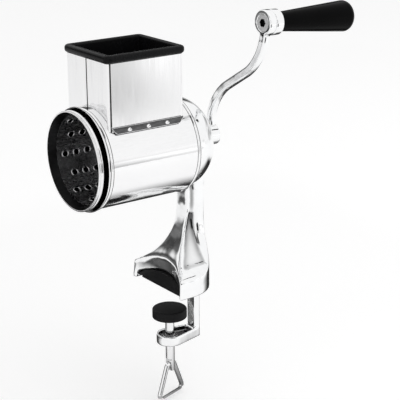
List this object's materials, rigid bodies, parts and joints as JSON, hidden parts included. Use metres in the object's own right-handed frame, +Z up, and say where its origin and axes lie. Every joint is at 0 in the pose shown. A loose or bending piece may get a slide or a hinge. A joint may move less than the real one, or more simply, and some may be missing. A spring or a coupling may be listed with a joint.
{
  "type": "rotary cheese grater",
  "caption": "Hand-cranked drum grater: a hopper with a pusher over a barrel holding a perforated drum, on a stand that clamps to a table edge with a bail screw.",
  "frame": {"origin": "where the clamp screw's axis meets the table top, on the underside of the jaw pad", "axes": "+Z up from the table, X along the drum's axis with the crank at +X and the drum's mouth at -X, Y across"},
  "size_m": [0.2211, 0.1132, 0.3321],
  "materials": {
    "cast_chrome": "bright chrome plate over a zinc casting",
    "polished_steel": "mirror-polished stainless sheet",
    "drum_steel": "bright stainless sheet, punched",
    "bolt_steel": "bright plated steel",
    "rivet_steel": "plain steel rivets",
    "bush_bronze": "plain bearing bronze",
    "black_rubber": "matt moulded rubber",
    "black_plastic": "satin moulded plastic",
    "grip_plastic": "glossy moulded plastic"
  },
  "bodies": {
    "stand": {"stand_casting": "cast_chrome", "barrel_shell": "polished_steel", "barrel_rivets": "rivet_steel", "hopper_chute": "polished_steel", "shaft_bush": "bush_bronze", "jaw_pad": "black_rubber"},
    "crank": {"drum_shell": "drum_steel", "drum_end_disc": "drum_steel", "drum_hub": "drum_steel", "hub_rivets": "rivet_steel", "drum_nut": "bolt_steel", "crank_shaft": "bolt_steel", "thrust_washer": "bush_bronze", "crank_arm": "cast_chrome", "crank_screw": "bolt_steel", "handle_bolt": "bolt_steel", "handle_sleeve": "bolt_steel", "handle_nut": "bolt_steel"},
    "grip": {"handle_ferrule": "cast_chrome", "handle_grip": "grip_plastic", "grip_end_cap": "grip_plastic"},
    "pusher": {"hopper_pusher": "black_plastic"},
    "clamp_pad": {"clamp_pad_cap": "black_rubber", "clamp_pad_plate": "bolt_steel"},
    "clamp_screw": {"clamp_screw": "bolt_steel", "swivel_clip": "bolt_steel"},
    "bail": {"clamp_bail": "bolt_steel"}
  },
  "joints": [
    {"name": "crank_turn", "type": "hinge", "parent": "stand", "child": "crank", "pos_m": [0, 0, 0.1226], "axis": [1, 0, 0], "continuous": true},
    {"name": "grip_spin", "type": "hinge", "parent": "crank", "child": "grip", "pos_m": [0.05098, -0.0595, 0.22125], "axis": [0.9992, 0, -0.0401], "continuous": true},
    {"name": "pusher_lift", "type": "slide", "parent": "stand", "child": "pusher", "axis": [0, 0, 1], "range_m": [0, 0.034]},
    {"name": "clamp_travel", "type": "slide", "parent": "stand", "child": "clamp_pad", "axis": [0, 0, 1], "range_m": [-0.0135, 0.013]},
    {"name": "clamp_turn", "type": "hinge", "parent": "clamp_pad", "child": "clamp_screw", "pos_m": [0, 0, -0.05], "axis": [0, 0, 1], "range_deg": [-2432, 2342]},
    {"name": "bail_swing", "type": "hinge", "parent": "clamp_screw", "child": "bail", "pos_m": [0, 0, -0.0696], "axis": [0.9532, 0.3024, 0], "range_deg": [-90, 90]}
  ],
  "couplings": [
    {"joint": "clamp_turn", "follows": "clamp_travel", "rad_per_m": 3141.6}
  ]
}
